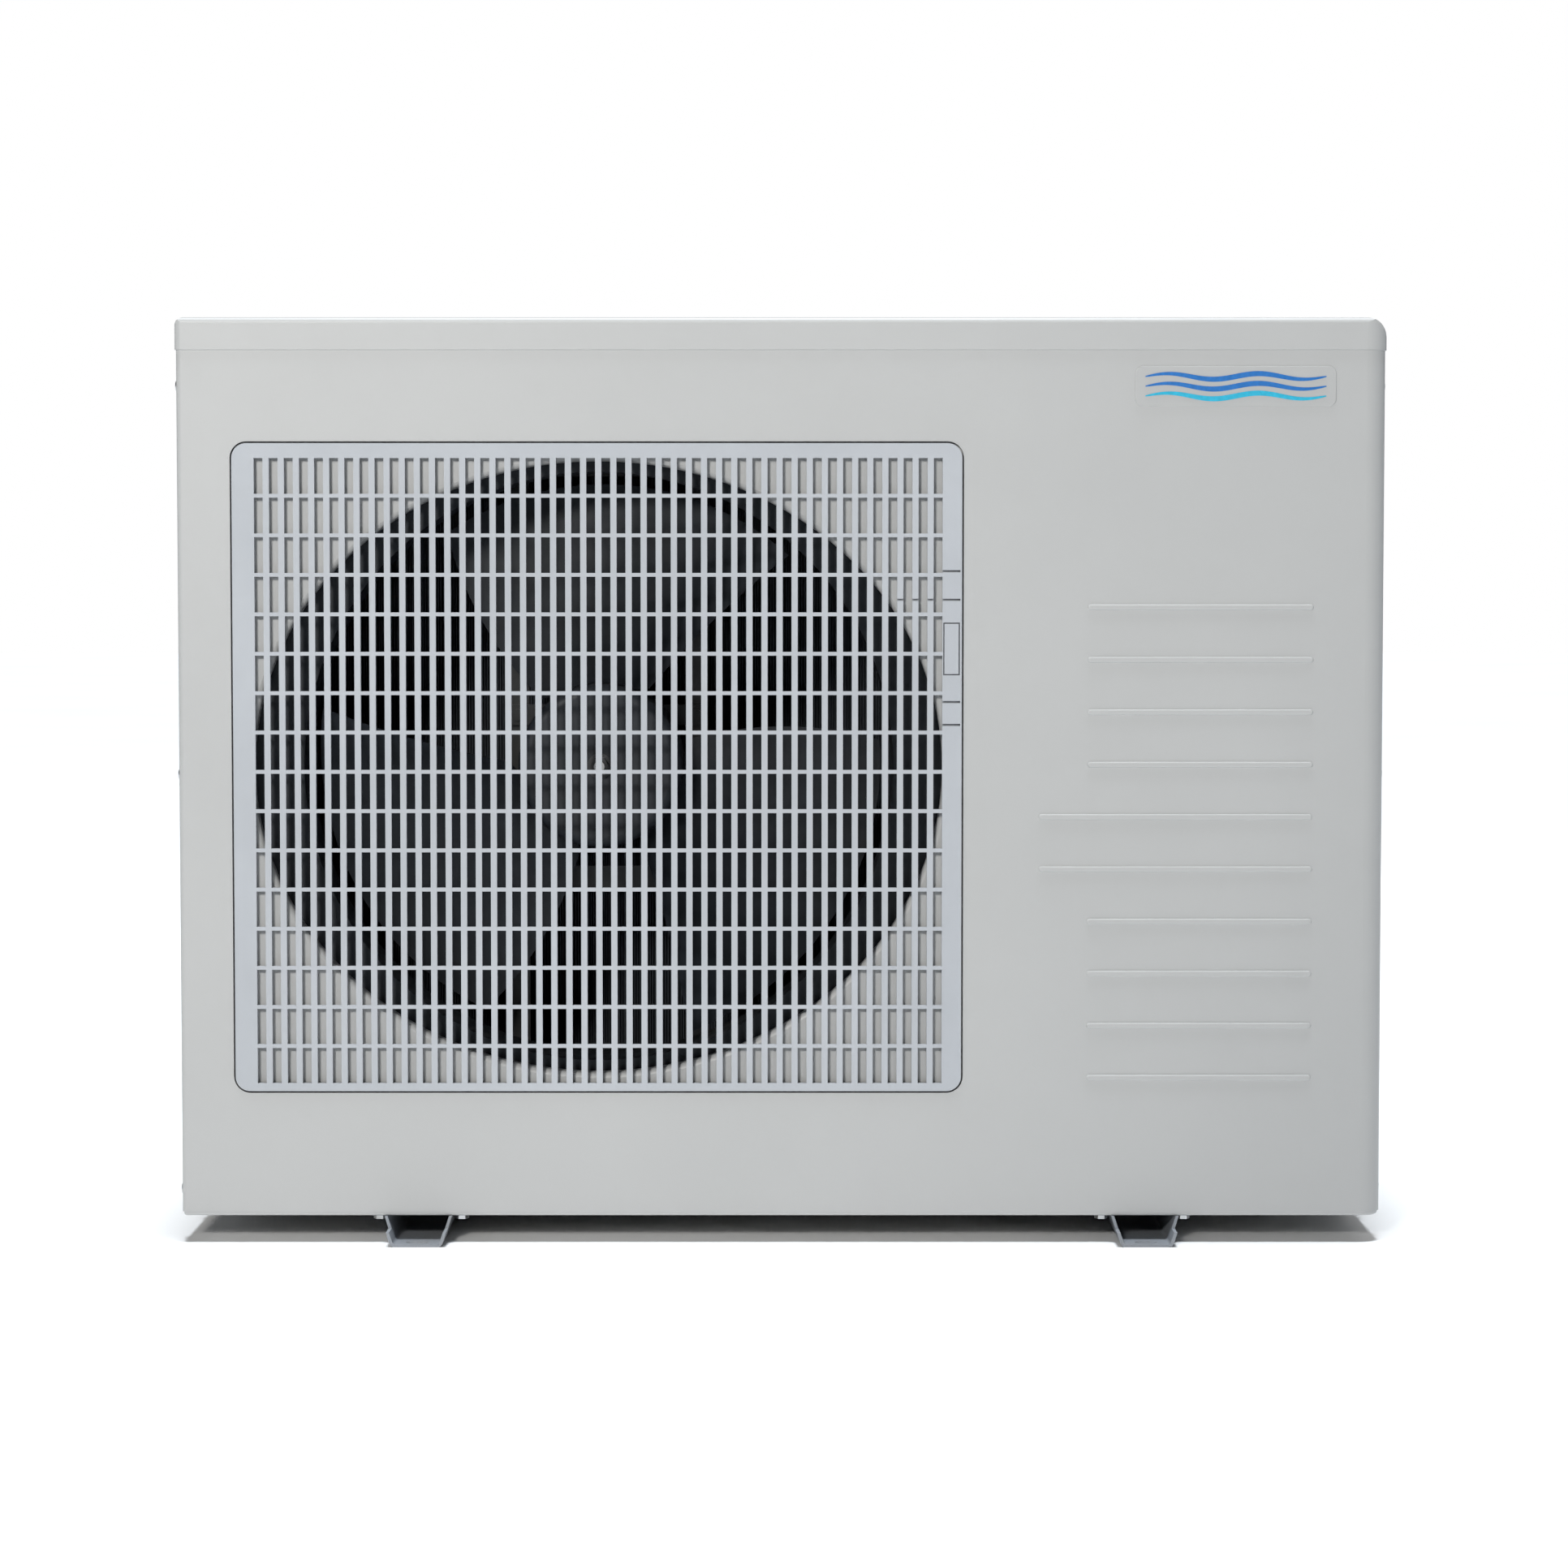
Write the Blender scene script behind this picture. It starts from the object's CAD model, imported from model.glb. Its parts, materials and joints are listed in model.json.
import json
import math
import random

import bmesh
import bpy
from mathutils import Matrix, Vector


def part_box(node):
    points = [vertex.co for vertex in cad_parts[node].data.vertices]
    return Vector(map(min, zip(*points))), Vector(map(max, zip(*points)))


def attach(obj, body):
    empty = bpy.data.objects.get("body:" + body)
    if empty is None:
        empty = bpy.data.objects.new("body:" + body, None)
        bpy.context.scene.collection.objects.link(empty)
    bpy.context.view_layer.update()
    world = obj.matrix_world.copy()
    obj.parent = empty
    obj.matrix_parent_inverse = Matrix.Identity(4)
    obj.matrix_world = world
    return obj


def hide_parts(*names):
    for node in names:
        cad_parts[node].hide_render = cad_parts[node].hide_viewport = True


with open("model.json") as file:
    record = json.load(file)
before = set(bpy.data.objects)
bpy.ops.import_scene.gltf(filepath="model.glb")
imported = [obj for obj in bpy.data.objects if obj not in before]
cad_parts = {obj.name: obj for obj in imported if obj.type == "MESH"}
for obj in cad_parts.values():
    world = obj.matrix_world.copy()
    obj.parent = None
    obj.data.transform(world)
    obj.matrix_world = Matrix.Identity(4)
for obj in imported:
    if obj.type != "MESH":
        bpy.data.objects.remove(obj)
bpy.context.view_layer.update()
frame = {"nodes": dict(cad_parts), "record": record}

MM = 0.001
SEED = 7


# ---------------------------------------------------------------- material graphs
DUST = (0.46, 0.44, 0.41, 1.0)
DUST_ON_BLACK = (0.16, 0.155, 0.15, 1.0)
DUST_ON_ENAMEL = (0.14, 0.135, 0.13, 1.0)
GRIME = (0.05, 0.055, 0.065, 1.0)
GRIME_STRENGTH = 0.85
GRIME_REACH = 4.0 * MM
SHEET_EDGE = 0.9 * MM
PLASTIC_EDGE = 0.5 * MM


class Graph:
    """A principled material and short calls for the nodes that feed it."""

    def __init__(self, name, metallic=0.0, specular=0.5, coat=0.0, coat_roughness=0.1):
        self.material = bpy.data.materials.new(name)
        self.material.use_nodes = True
        self.tree = self.material.node_tree
        self.shader = self.tree.nodes["Principled BSDF"]
        self.shader.inputs["Metallic"].default_value = metallic
        self.shader.inputs["Specular IOR Level"].default_value = specular
        self.shader.inputs["Coat Weight"].default_value = coat
        self.shader.inputs["Coat Roughness"].default_value = coat_roughness
        self.coords = self.tree.nodes.new("ShaderNodeTexCoord").outputs["Object"]

    def wire(self, source, socket):
        """Links a node's output to a socket, or sets the socket to a constant."""
        if hasattr(source, "is_output"):
            self.tree.links.new(source, socket)
        else:
            socket.default_value = source

    def stretched(self, stretch):
        """Object coordinates scaled along each axis."""
        node = self.tree.nodes.new("ShaderNodeMapping")
        node.inputs["Scale"].default_value = stretch
        self.wire(self.coords, node.inputs["Vector"])
        return node.outputs["Vector"]

    def noise(self, scale, detail=3.0, roughness=0.5, stretch=(1, 1, 1), distortion=0.0):
        node = self.tree.nodes.new("ShaderNodeTexNoise")
        self.wire(self.stretched(stretch), node.inputs["Vector"])
        node.inputs["Scale"].default_value = scale
        node.inputs["Detail"].default_value = detail
        node.inputs["Roughness"].default_value = roughness
        node.inputs["Distortion"].default_value = distortion
        return node.outputs["Fac"]

    def cells(self, scale, output="Color"):
        node = self.tree.nodes.new("ShaderNodeTexVoronoi")
        self.wire(self.coords, node.inputs["Vector"])
        node.inputs["Scale"].default_value = scale
        return node.outputs[output]

    def ramp(self, fac, start, end, low=0.0, high=1.0):
        node = self.tree.nodes.new("ShaderNodeMapRange")
        self.wire(fac, node.inputs["Value"])
        node.inputs["From Min"].default_value = start
        node.inputs["From Max"].default_value = end
        node.inputs["To Min"].default_value = low
        node.inputs["To Max"].default_value = high
        return node.outputs["Result"]

    def maths(self, operation, a, b):
        node = self.tree.nodes.new("ShaderNodeMath")
        node.operation = operation
        node.use_clamp = True
        self.wire(a, node.inputs[0])
        self.wire(b, node.inputs[1])
        return node.outputs["Value"]

    def mix(self, fac, a, b):
        node = self.tree.nodes.new("ShaderNodeMix")
        node.data_type = "RGBA"
        self.wire(fac, node.inputs["Factor"])
        colours = [socket for socket in node.inputs if socket.type == "RGBA"]
        self.wire(a, colours[0])
        self.wire(b, colours[1])
        return next(socket for socket in node.outputs if socket.type == "RGBA")

    def axis(self, name):
        """One object coordinate, in metres."""
        node = self.tree.nodes.new("ShaderNodeSeparateXYZ")
        self.wire(self.coords, node.inputs[0])
        return node.outputs[name]

    def facing_up(self):
        """1 on level upper faces, 0 on walls and undersides."""
        node = self.tree.nodes.new("ShaderNodeNewGeometry")
        parts = self.tree.nodes.new("ShaderNodeSeparateXYZ")
        self.wire(node.outputs["Normal"], parts.inputs[0])
        return self.ramp(parts.outputs["Z"], 0.35, 0.95)

    def edges(self, width):
        """1 along edges and corners, 0 on the flats between them."""
        bevel = self.tree.nodes.new("ShaderNodeBevel")
        bevel.samples = 4
        bevel.inputs["Radius"].default_value = width
        flat = self.tree.nodes.new("ShaderNodeNewGeometry").outputs["Normal"]
        dot = self.tree.nodes.new("ShaderNodeVectorMath")
        dot.operation = "DOT_PRODUCT"
        self.wire(bevel.outputs["Normal"], dot.inputs[0])
        self.wire(flat, dot.inputs[1])
        return self.ramp(dot.outputs["Value"], 0.985, 0.86)

    def crevices(self, reach):
        """1 deep in gaps and narrow slots, 0 on open faces."""
        node = self.tree.nodes.new("ShaderNodeAmbientOcclusion")
        node.samples = 6
        node.inputs["Distance"].default_value = reach
        return self.ramp(node.outputs["AO"], 0.75, 0.25)

    def dusted(self, tone, dust, scale, start, end, most):
        """Patchy dust that lies only on the upper faces."""
        patches = self.ramp(self.noise(scale, 5.0, 0.7), start, end, 0.0, most)
        return self.mix(self.maths("MULTIPLY", self.facing_up(), patches), tone, dust)

    def bumps(self, *layers):
        """Stacks bump layers, each (height, strength, distance in metres)."""
        normal = None
        for height, strength, distance in layers:
            node = self.tree.nodes.new("ShaderNodeBump")
            node.inputs["Strength"].default_value = strength
            node.inputs["Distance"].default_value = distance
            self.wire(height, node.inputs["Height"])
            if normal:
                self.wire(normal, node.inputs["Normal"])
            normal = node.outputs["Normal"]
        self.wire(normal, self.shader.inputs["Normal"])

    def finish(self, colour, roughness):
        self.wire(colour, self.shader.inputs["Base Color"])
        self.wire(roughness, self.shader.inputs["Roughness"])
        return self.material


def tint(colour, factor):
    """The colour made darker or lighter, with full alpha."""
    return (colour[0] * factor, colour[1] * factor, colour[2] * factor, 1.0)


def painted_sheet(name, colour, grime, edge_colour, gloss=0.42):
    """Powder coat: orange peel, cloudy tone, dust low down and thin wear on the edges."""
    g = Graph(name, specular=0.45)
    cloud = g.noise(5.0, 4.0, 0.55)
    tone = g.mix(g.ramp(cloud, 0.3, 0.7), tint(colour, 0.975), tint(colour, 1.02))
    speck = g.ramp(g.noise(900.0, 1.0), 0.62, 0.72, 0.0, 0.25)
    tone = g.mix(speck, tone, tint(colour, 0.93))
    streak = g.noise(16.0, 4.0, 0.6, stretch=(1.0, 1.0, 0.12))
    low = g.ramp(g.axis("Z"), 0.16, 0.02)
    dust = g.maths("MULTIPLY", low, g.ramp(streak, 0.35, 0.75, 0.0, 0.5))
    tone = g.mix(dust, tone, grime)
    chips = g.ramp(g.noise(70.0, 4.0, 0.7), 0.52, 0.66, 0.0, 0.45)
    tone = g.mix(g.maths("MULTIPLY", g.edges(SHEET_EDGE), chips), tone, edge_colour)
    g.bumps((g.noise(420.0, 2.0), 0.10, 0.25 * MM), (g.noise(40.0, 2.0), 0.02, 0.4 * MM))
    rough = g.ramp(g.noise(30.0, 4.0, 0.6), 0.3, 0.7, gloss - 0.015, gloss + 0.025)
    return g.finish(tone, rough)


def moulded_plastic(name, colour, gloss=0.5, dust=0.15, grain=650.0):
    """Moulded plastic: fine grain, faint flow clouds, dust on top and dark grime deep in its gaps."""
    g = Graph(name, specular=0.4)
    cloud = g.noise(9.0, 4.0, 0.5, distortion=0.4)
    tone = g.mix(g.ramp(cloud, 0.3, 0.7), tint(colour, 0.95), tint(colour, 1.04))
    tone = g.dusted(tone, DUST, 55.0, 0.35, 0.7, dust)
    tone = g.mix(g.maths("MULTIPLY", g.crevices(GRIME_REACH), GRIME_STRENGTH), tone, GRIME)
    rubbed = g.ramp(g.noise(120.0, 3.0), 0.45, 0.65, 0.0, 0.35)
    tone = g.mix(g.maths("MULTIPLY", g.edges(PLASTIC_EDGE), rubbed), tone, tint(colour, 1.25))
    g.bumps((g.noise(grain, 2.0, 0.6), 0.16, 0.15 * MM))
    rough = g.ramp(g.noise(45.0, 4.0, 0.6), 0.3, 0.7, gloss - 0.07, gloss + 0.09)
    return g.finish(tone, rough)


def dark_plastic(name, colour, gloss=0.5):
    """Black plastic with a fine grain, a dry haze and dust on its upper faces."""
    g = Graph(name, specular=0.35)
    haze = g.noise(14.0, 5.0, 0.6, distortion=0.6)
    tone = g.mix(g.ramp(haze, 0.35, 0.75), tint(colour, 0.8), tint(colour, 1.35))
    tone = g.dusted(tone, DUST_ON_BLACK, 70.0, 0.4, 0.75, 0.3)
    g.bumps((g.noise(520.0, 2.0), 0.2, 0.12 * MM))
    rough = g.ramp(g.noise(60.0, 4.0), 0.3, 0.7, gloss - 0.08, gloss + 0.1)
    return g.finish(tone, rough)


def bare_metal(name, colour, rough=0.32, tarnish=None, lines=(1, 1, 30)):
    """Drawn or turned metal with fine lines and uneven tarnish."""
    g = Graph(name, metallic=1.0)
    drawn = g.noise(180.0, 3.0, 0.6, stretch=lines)
    tone = g.mix(g.ramp(drawn, 0.3, 0.7), tint(colour, 0.88), tint(colour, 1.08))
    patch = g.ramp(g.noise(34.0, 5.0, 0.65, distortion=0.8), 0.45, 0.72, 0.0, 0.75)
    tone = g.mix(patch, tone, tarnish or tint(colour, 0.72))
    g.bumps((drawn, 0.12, 0.08 * MM))
    return g.finish(tone, g.ramp(patch, 0.0, 0.75, rough, rough + 0.2))


def galvanised_sheet(name):
    """Zinc coat with faint crystal spangle and white bloom."""
    g = Graph(name, metallic=0.9)
    spangle = g.cells(170.0)
    grey = g.mix(g.ramp(spangle, 0.0, 1.0), (0.46, 0.47, 0.48, 1.0), (0.60, 0.61, 0.62, 1.0))
    bloom = g.ramp(g.noise(26.0, 5.0, 0.7), 0.52, 0.75, 0.0, 0.5)
    grey = g.mix(bloom, grey, (0.62, 0.62, 0.60, 1.0))
    g.bumps((g.noise(160.0, 3.0), 0.06, 0.1 * MM))
    return g.finish(grey, g.ramp(g.noise(90.0, 3.0), 0.3, 0.7, 0.34, 0.52))


def fin_foil(name):
    """Coated aluminium foil, tone shifting from fin to fin, dull where dust has caught."""
    g = Graph(name, metallic=0.5)
    per_fin = g.noise(240.0, 1.0, 0.5, stretch=(1.0, 1.0, 0.004))
    tone = g.mix(g.ramp(per_fin, 0.3, 0.7), (0.10, 0.12, 0.145, 1.0), (0.19, 0.22, 0.26, 1.0))
    caught = g.ramp(g.noise(9.0, 5.0, 0.65), 0.45, 0.8, 0.0, 0.55)
    tone = g.mix(caught, tone, (0.11, 0.108, 0.10, 1.0))
    g.bumps((g.noise(300.0, 2.0, stretch=(1, 1, 3)), 0.2, 0.2 * MM))
    return g.finish(tone, g.ramp(caught, 0.0, 0.55, 0.36, 0.6))


def enamel(name, colour, gloss=0.35):
    """Baked enamel with runs and a little orange peel."""
    g = Graph(name, specular=0.5, coat=0.25, coat_roughness=0.3)
    runs = g.noise(22.0, 4.0, 0.55, stretch=(1.0, 1.0, 0.25))
    tone = g.mix(g.ramp(runs, 0.3, 0.7), tint(colour, 0.85), tint(colour, 1.3))
    tone = g.dusted(tone, DUST_ON_ENAMEL, 60.0, 0.4, 0.75, 0.3)
    g.bumps((g.noise(380.0, 2.0), 0.12, 0.2 * MM))
    return g.finish(tone, g.ramp(g.noise(40.0, 3.0), 0.3, 0.7, gloss - 0.06, gloss + 0.1))


def rubber(name):
    """Matte black rubber with a pale bloom."""
    g = Graph(name, specular=0.25)
    bloom = g.noise(50.0, 4.0, 0.6)
    tone = g.mix(g.ramp(bloom, 0.3, 0.75), (0.018, 0.018, 0.018, 1.0), (0.05, 0.049, 0.047, 1.0))
    g.bumps((g.noise(700.0, 2.0), 0.25, 0.1 * MM))
    return g.finish(tone, g.ramp(bloom, 0.3, 0.7, 0.6, 0.8))


def circuit_laminate(name):
    """Green mask over copper tracks."""
    g = Graph(name, specular=0.5, coat=0.3, coat_roughness=0.2)
    track = g.ramp(g.cells(160.0, "Distance"), 0.28, 0.33)
    tone = g.mix(track, (0.012, 0.10, 0.035, 1.0), (0.03, 0.19, 0.07, 1.0))
    g.bumps((track, 0.3, 0.05 * MM))
    return g.finish(tone, g.ramp(g.noise(50.0, 2.0), 0.3, 0.7, 0.25, 0.4))


def wave_ink(name, colour):
    """Screen-printed ink, slightly raised, a shade deeper where it is thick."""
    g = Graph(name, specular=0.5, coat=0.2, coat_roughness=0.2)
    thick = g.noise(300.0, 3.0, 0.6)
    tone = g.mix(g.ramp(thick, 0.3, 0.7), tint(colour, 0.86), tint(colour, 1.1))
    g.bumps((thick, 0.1, 0.05 * MM))
    return g.finish(tone, g.ramp(thick, 0.3, 0.7, 0.3, 0.42))


CABINET = (0.455, 0.458, 0.455)
SHEET_DIRT = (0.45, 0.45, 0.45, 1.0)
FEET = (0.26, 0.28, 0.31)
FEET_DIRT = (0.20, 0.19, 0.18, 1.0)
materials = {
    "cabinet_paint": painted_sheet("cabinet_paint", CABINET, SHEET_DIRT, (0.72, 0.72, 0.71, 1)),
    "foot_paint": painted_sheet("foot_paint", FEET, FEET_DIRT, (0.46, 0.47, 0.48, 1), 0.45),
    "grille_plastic": moulded_plastic("grille_plastic", (0.435, 0.455, 0.485)),
    "guard_plastic": moulded_plastic("guard_plastic", (0.42, 0.44, 0.46), 0.52, 0.25),
    "badge_plate": painted_sheet("badge_plate", CABINET, (0.5, 0.5, 0.5, 1), (0.66, 0.66, 0.65, 1), 0.3),
    "black_plastic": dark_plastic("black_plastic", (0.022, 0.026, 0.033)),
    "motor_paint": enamel("motor_paint", (0.03, 0.031, 0.034)),
    "galvanised": galvanised_sheet("galvanised"),
    "fins": fin_foil("fins"),
    "copper": bare_metal("copper", (0.70, 0.36, 0.22), 0.28, (0.30, 0.15, 0.09, 1)),
    "brass": bare_metal("brass", (0.72, 0.54, 0.26), 0.3, (0.42, 0.30, 0.14, 1)),
    "compressor_paint": enamel("compressor_paint", (0.02, 0.021, 0.023)),
    "rubber": rubber("rubber"),
    "vessel_plastic": dark_plastic("vessel_plastic", (0.045, 0.048, 0.052), 0.42),
    "union_plastic": moulded_plastic("union_plastic", (0.075, 0.082, 0.09), 0.4, 0.25),
    "titanium": bare_metal("titanium", (0.50, 0.48, 0.45), 0.38),
    "zinc": bare_metal("zinc", (0.66, 0.67, 0.68), 0.27, (0.50, 0.49, 0.46, 1), (1, 1, 1)),
    "board_green": circuit_laminate("board_green"),
    "electric_plastic": moulded_plastic("electric_plastic", (0.42, 0.40, 0.35), 0.48, 0.1),
}

for entry in frame["record"]["subparts"]:
    obj = frame["nodes"][entry["node"]]
    obj.data.materials.clear()
    obj.data.materials.append(materials[entry["material_slot"]])


# ---------------------------------------------------------------- mesh helpers
def new_piece(name, mesh_builder, slot, material=None):
    """Makes a mesh piece of the fixed body, in its slot's material unless told otherwise."""
    mesh = bpy.data.meshes.new(name)
    bm = bmesh.new()
    mesh_builder(bm)
    bm.to_mesh(mesh)
    bm.free()
    piece = bpy.data.objects.new(name, mesh)
    bpy.context.scene.collection.objects.link(piece)
    mesh.materials.append(material or materials[slot])
    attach(piece, "root")
    return piece


# ---------------------------------------------------------------- coil fins and tubes
FIN_PITCH = 2.1 * MM
FIN_THICK = 0.3 * MM
FIN_FOLDS = 6
FIN_WAVE = 2.4 * MM
FIN_OFFSET = 0.2          # share of a pitch before the first fin
FIN_INSET = 0.2 * MM      # how far each fin stays inside the coil's two faces
FIN_LEAN = 0.15 * MM      # most that an ordinary fin leans
BENT_SHARE = 0.04         # share of fins that have been knocked
BENT_FACTOR = 4           # how much more a knocked fin leans
COIL_DEPTH = 38.0 * MM
COIL_CORNER = 60.0 * MM

fins_low, fins_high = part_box("evaporator_fins")
coil_left = fins_low[0]
coil_back = fins_high[1]


def coil_point(travel, depth):
    """Point on the coil seen from above: travel runs from its right end round to its front end."""
    straight = fins_high[0] - (coil_left + COIL_CORNER)
    arc = COIL_CORNER * math.pi / 2
    radius = COIL_CORNER - depth
    if travel < straight:
        return fins_high[0] - travel, coil_back - depth
    if travel < straight + arc:
        angle = (travel - straight) / COIL_CORNER
        centre = (coil_left + COIL_CORNER, coil_back - COIL_CORNER)
        return centre[0] - radius * math.sin(angle), centre[1] + radius * math.cos(angle)
    down = travel - straight - arc
    return coil_left + depth, coil_back - COIL_CORNER - down


def coil_length():
    """Length of the coil's outer face, round its corner."""
    straight = fins_high[0] - (coil_left + COIL_CORNER)
    return straight + COIL_CORNER * math.pi / 2 + (coil_back - COIL_CORNER - fins_low[1])


def add_fin(bm, travel, lean):
    """One fin: a thin sheet across the coil, folded into shallow waves from face to face."""
    rows = []
    for fold in range(FIN_FOLDS + 1):
        depth = FIN_INSET + (COIL_DEPTH - 2 * FIN_INSET) * fold / FIN_FOLDS
        swing = FIN_WAVE * (fold % 2) + lean * (1 - fold / FIN_FOLDS)
        row = []
        for side in (0, FIN_THICK):
            x, y = coil_point(travel + swing + side, depth)
            row += [bm.verts.new((x, y, fins_low[2])), bm.verts.new((x, y, fins_high[2]))]
        rows.append(row)
    for near, far in zip(rows, rows[1:]):
        bm.faces.new((near[0], near[1], far[1], far[0]))
        bm.faces.new((near[2], far[2], far[3], near[3]))
        bm.faces.new((near[1], near[3], far[3], far[1]))
        bm.faces.new((near[0], far[0], far[2], near[2]))
    bm.faces.new((rows[0][0], rows[0][2], rows[0][3], rows[0][1]))
    bm.faces.new((rows[-1][0], rows[-1][1], rows[-1][3], rows[-1][2]))


def build_fins(bm):
    """Every fin along the coil, a few of them knocked slightly out of line."""
    rng = random.Random(SEED)
    count = int((coil_length() - FIN_WAVE - FIN_THICK) / FIN_PITCH)
    for index in range(count):
        lean = rng.uniform(0.0, FIN_LEAN)
        if rng.random() < BENT_SHARE:
            lean *= BENT_FACTOR
        add_fin(bm, (index + FIN_OFFSET) * FIN_PITCH, lean)
    bmesh.ops.recalc_face_normals(bm, faces=bm.faces)


coil_fins = new_piece("coil_fins", build_fins, "fins")
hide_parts("evaporator_fins")

TUBE_RADIUS = 4.0 * MM
TUBE_PITCH = 25.4 * MM
TUBE_ROWS = 22
TUBE_STEPS = 40

bends_low, bends_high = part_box("return_bends")
tube_depths = (coil_back - bends_high[1] + TUBE_RADIUS, coil_back - bends_low[1] - TUBE_RADIUS)
first_tube_z = (bends_low[2] + bends_high[2] - (TUBE_ROWS - 1) * TUBE_PITCH) / 2


def coil_tubes():
    """Copper tubes that run level through all the fins and meet the return bends."""
    curve = bpy.data.curves.new("coil_tubes", "CURVE")
    curve.dimensions = "3D"
    curve.bevel_depth = TUBE_RADIUS
    curve.bevel_resolution = 2
    curve.use_fill_caps = True
    length = coil_length()
    for depth in tube_depths:
        for row in range(TUBE_ROWS):
            z = first_tube_z + row * TUBE_PITCH
            spline = curve.splines.new("POLY")
            spline.points.add(TUBE_STEPS)
            for step in range(TUBE_STEPS + 1):
                x, y = coil_point(length * step / TUBE_STEPS, depth)
                spline.points[step].co = (x, y, z, 1.0)
    piece = bpy.data.objects.new("coil_tubes", curve)
    bpy.context.scene.collection.objects.link(piece)
    curve.materials.append(materials["copper"])
    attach(piece, "root")


coil_tubes()


# ---------------------------------------------------------------- badge
badge_low, badge_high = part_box("badge")
BLUE = (0.010, 0.150, 0.470)
CYAN = (0.020, 0.420, 0.620)
WAVE_RISE = 0.3 * MM
WAVE_STEPS = 48
WAVE_MARGIN = 0.05        # of the plate's width, left bare at each end
WAVE_LEVEL = 0.24         # of the plate's height, from one wave to the next
WAVE_SWING = 0.07         # of the plate's height
WAVE_WIDTH = 0.13         # of the plate's height
WAVE_TURNS = 2
WAVE_TIP = 0.18           # a wave's width at its ends, as a share of its full width


def wave_ribbon(x0, x1, z_mid, swing, width):
    """Wavy ribbon on the badge's face, thinning towards both ends."""

    def build(bm):
        front_y = badge_low[1]
        rows = []
        for step in range(WAVE_STEPS + 1):
            t = step / WAVE_STEPS
            x = x0 + (x1 - x0) * t
            z = z_mid + swing * math.sin(t * WAVE_TURNS * 2 * math.pi)
            swell = WAVE_TIP + (1 - WAVE_TIP) * math.sin(math.pi * t) ** 0.6
            half = width * swell / 2
            rows.append([
                bm.verts.new((x, y, z + side * half))
                for y in (front_y - WAVE_RISE, front_y) for side in (-1, 1)
            ])
        for a, b in zip(rows, rows[1:]):
            bm.faces.new((a[0], b[0], b[1], a[1]))
            bm.faces.new((a[2], a[3], b[3], b[2]))
            bm.faces.new((a[0], a[2], b[2], b[0]))
            bm.faces.new((a[1], b[1], b[3], a[3]))
        bm.faces.new((rows[0][0], rows[0][1], rows[0][3], rows[0][2]))
        bm.faces.new((rows[-1][0], rows[-1][2], rows[-1][3], rows[-1][1]))
        bmesh.ops.recalc_face_normals(bm, faces=bm.faces)

    return build


def badge_waves():
    """Three plain waves, one above the other, in place of any lettering."""
    width = badge_high[0] - badge_low[0]
    height = badge_high[2] - badge_low[2]
    x0 = badge_low[0] + WAVE_MARGIN * width
    x1 = badge_high[0] - WAVE_MARGIN * width
    middle = (badge_low[2] + badge_high[2]) / 2
    rows = ((WAVE_LEVEL, BLUE), (0.0, BLUE), (-WAVE_LEVEL, CYAN))
    for index, (level, colour) in enumerate(rows):
        ink = wave_ink(f"badge_ink_{index}", colour)
        shape = wave_ribbon(x0, x1, middle + level * height, WAVE_SWING * height, WAVE_WIDTH * height)
        new_piece(f"badge_wave_{index}", shape, "badge_plate", material=ink)


badge_waves()


# ---------------------------------------------------------------- stage, light and camera
FLOOR_SIZE = 40.0
WORLD_FILL = 0.04

SKY_PLACE = (0.0, -0.2, 4.0)
SKY_TARGET = (0.0, 0.0, 0.0)
SKY_STRENGTH = 3.8
SKY_ANGLE = math.radians(16)

KEY_PLACE = (-1.1, -4.1, 1.9)
KEY_TARGET = (-0.34, -0.17, 0.92)
KEY_REACH = 1.2           # metres from the key's axis to where its light has faded away
KEY_POWER = 455.0
KEY_BLEND = 0.4
KEY_SIZE = 0.35

BACK_PLACE = (1.6, 3.2, 2.2)
BACK_TARGET = (0.0, 0.17, 0.3)
BACK_SIZE = 1.8
BACK_POWER = 45.0

CAMERA_DISTANCE = 3.0
CAMERA_PITCH = math.radians(3.1)
SENSOR = 36.0             # millimetres
FRAME_WIDTH = 1.1673      # metres of the front plane across the picture
AIM_X = 0.0018
AIM_Z = 0.344


def make_floor():
    """Plain pale paper under the unit."""
    bpy.ops.mesh.primitive_plane_add(size=FLOOR_SIZE, location=(0, 0, 0))
    floor = bpy.context.object
    floor.name = "floor"
    g = Graph("floor_paper", specular=0.0)
    tone = g.mix(g.ramp(g.noise(1.5, 3.0), 0.3, 0.7), (0.87, 0.87, 0.87, 1), (0.90, 0.90, 0.90, 1))
    g.bumps((g.noise(300.0, 2.0), 0.05, 0.2 * MM))
    floor.data.materials.append(g.finish(tone, g.ramp(g.noise(20.0, 2.0), 0.3, 0.7, 0.7, 0.8)))


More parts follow.
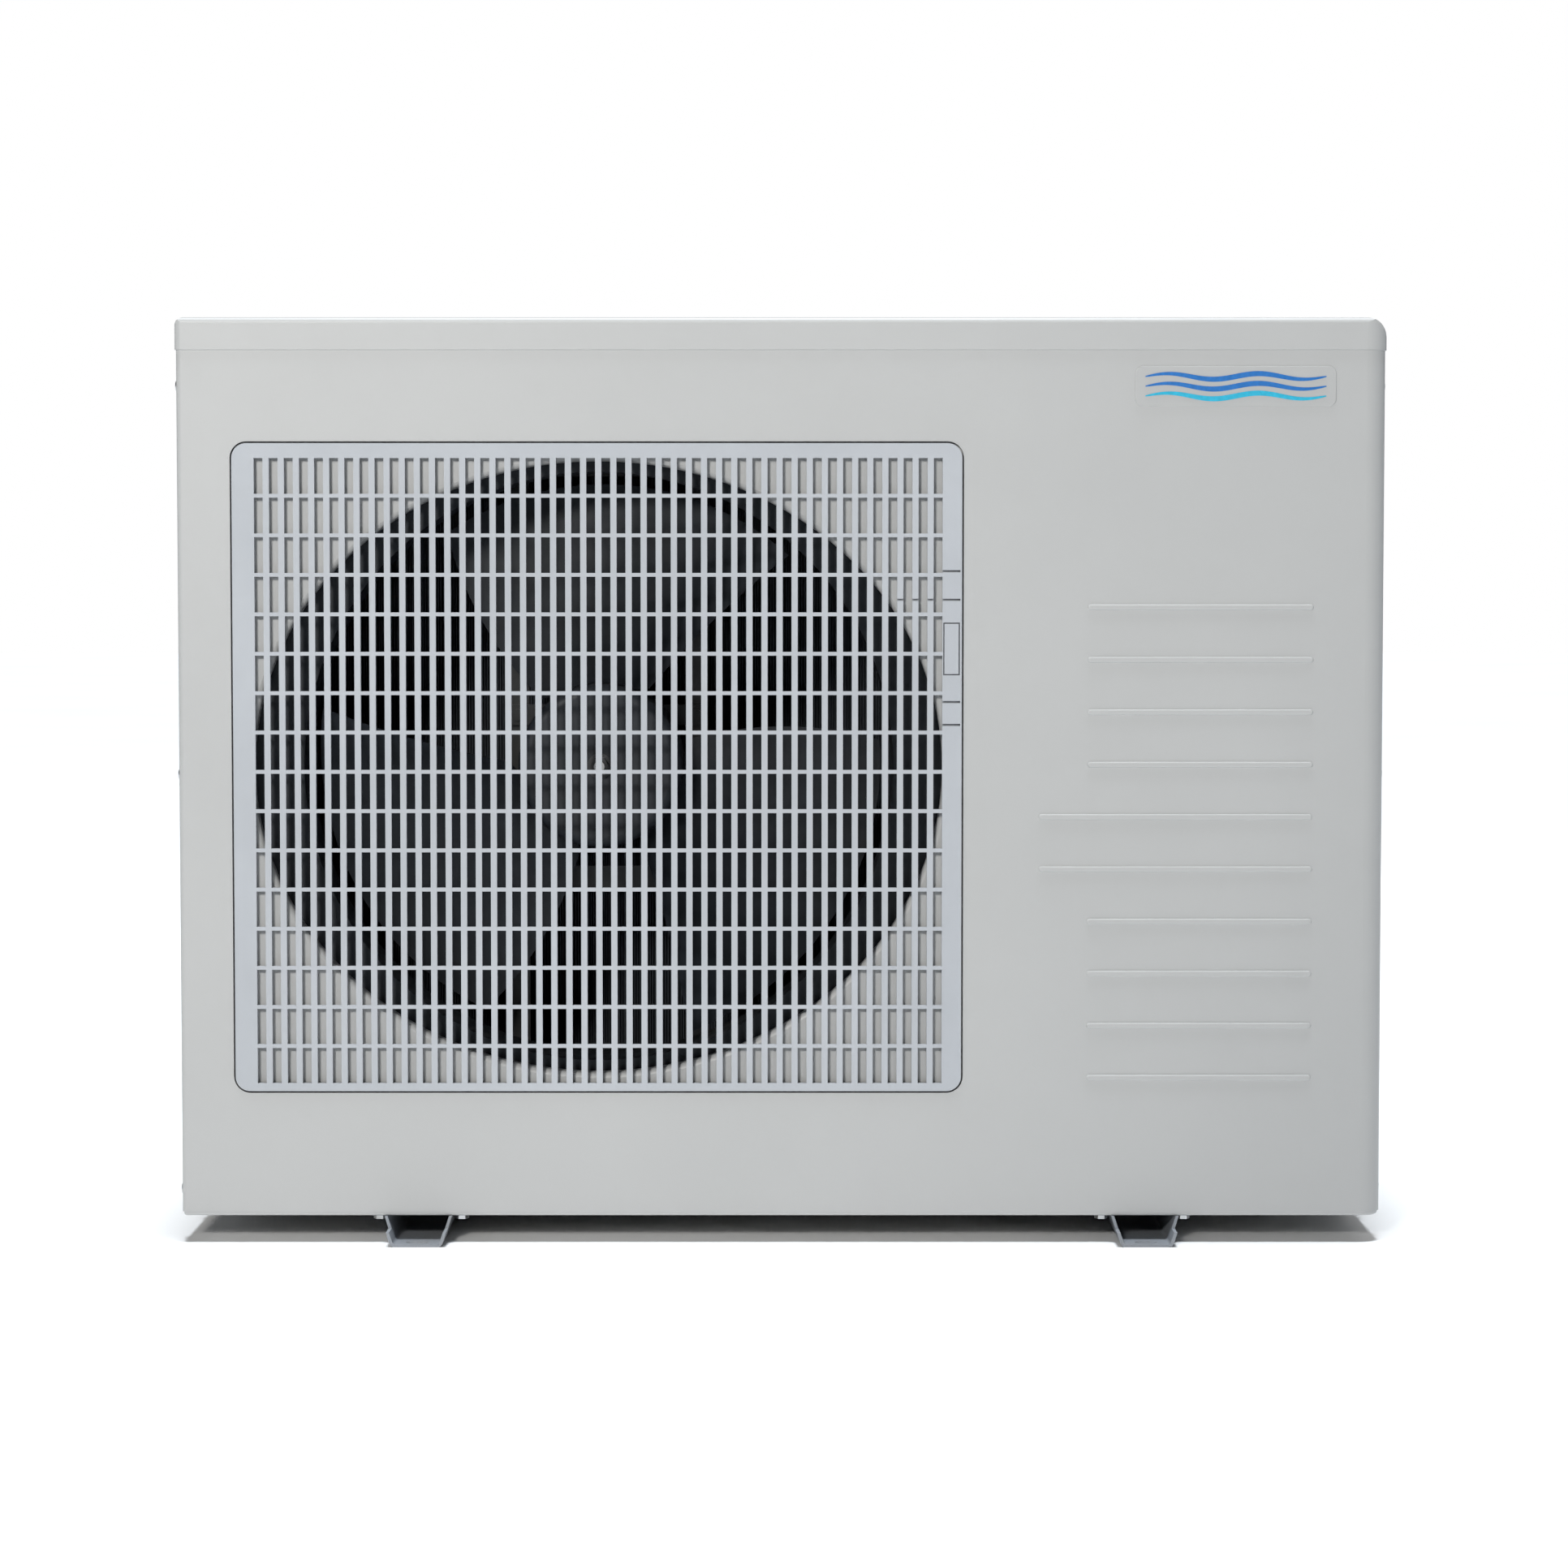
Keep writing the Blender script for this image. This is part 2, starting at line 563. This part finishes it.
def make_world():
    """White to the camera, a softer pale fill to everything it lights."""
    world = bpy.data.worlds.new("studio")
    world.use_nodes = True
    bpy.context.scene.world = world
    tree = world.node_tree
    tree.nodes.clear()
    seen = tree.nodes.new("ShaderNodeBackground")
    seen.inputs["Strength"].default_value = 1.0
    seen.inputs["Color"].default_value = (1, 1, 1, 1)
    fill = tree.nodes.new("ShaderNodeBackground")
    fill.inputs["Strength"].default_value = WORLD_FILL
    fill.inputs["Color"].default_value = (0.85, 0.92, 1.0, 1)
    path = tree.nodes.new("ShaderNodeLightPath")
    choose = tree.nodes.new("ShaderNodeMixShader")
    output = tree.nodes.new("ShaderNodeOutputWorld")
    tree.links.new(path.outputs["Is Camera Ray"], choose.inputs["Fac"])
    tree.links.new(fill.outputs[0], choose.inputs[1])
    tree.links.new(seen.outputs[0], choose.inputs[2])
    tree.links.new(choose.outputs[0], output.inputs["Surface"])


def aim(obj, target):
    """Turns a light or camera to face a point."""
    direction = Vector(target) - obj.location
    obj.rotation_euler = direction.to_track_quat("-Z", "Y").to_euler()


def make_light(kind, name, place, target, energy):
    """Adds a light, aims it and gives back its settings."""
    data = bpy.data.lights.new(name, kind)
    data.energy = energy
    light = bpy.data.objects.new(name, data)
    light.location = place
    bpy.context.scene.collection.objects.link(light)
    aim(light, target)
    return data


def make_lights():
    """A soft sky almost straight above, a soft-edged key from the front left, a weak fill behind."""
    sky = make_light("SUN", "sky", SKY_PLACE, SKY_TARGET, SKY_STRENGTH)
    sky.angle = SKY_ANGLE
    sky.color = (0.91, 0.955, 1.0)
    key = make_light("SPOT", "key", KEY_PLACE, KEY_TARGET, KEY_POWER)
    key.spot_size = 2 * math.atan(KEY_REACH / (Vector(KEY_PLACE) - Vector(KEY_TARGET)).length)
    key.spot_blend = KEY_BLEND
    key.color = (1.0, 0.98, 0.94)
    key.shadow_soft_size = KEY_SIZE
    back = make_light("AREA", "back_fill", BACK_PLACE, BACK_TARGET, BACK_POWER)
    back.size = BACK_SIZE


def make_camera():
    """Looks slightly down at the front panel from straight ahead."""
    data = bpy.data.cameras.new("camera")
    data.sensor_width = SENSOR
    data.lens = SENSOR * CAMERA_DISTANCE / FRAME_WIDTH
    camera = bpy.data.objects.new("camera", data)
    bpy.context.scene.collection.objects.link(camera)
    target = Vector((AIM_X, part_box("front_panel")[0][1], AIM_Z))
    back = Vector((0, -math.cos(CAMERA_PITCH), math.sin(CAMERA_PITCH)))
    camera.location = target + CAMERA_DISTANCE * back
    aim(camera, target)
    bpy.context.scene.camera = camera


make_floor()
make_world()
make_lights()
make_camera()
bpy.context.scene.view_settings.view_transform = "Standard"
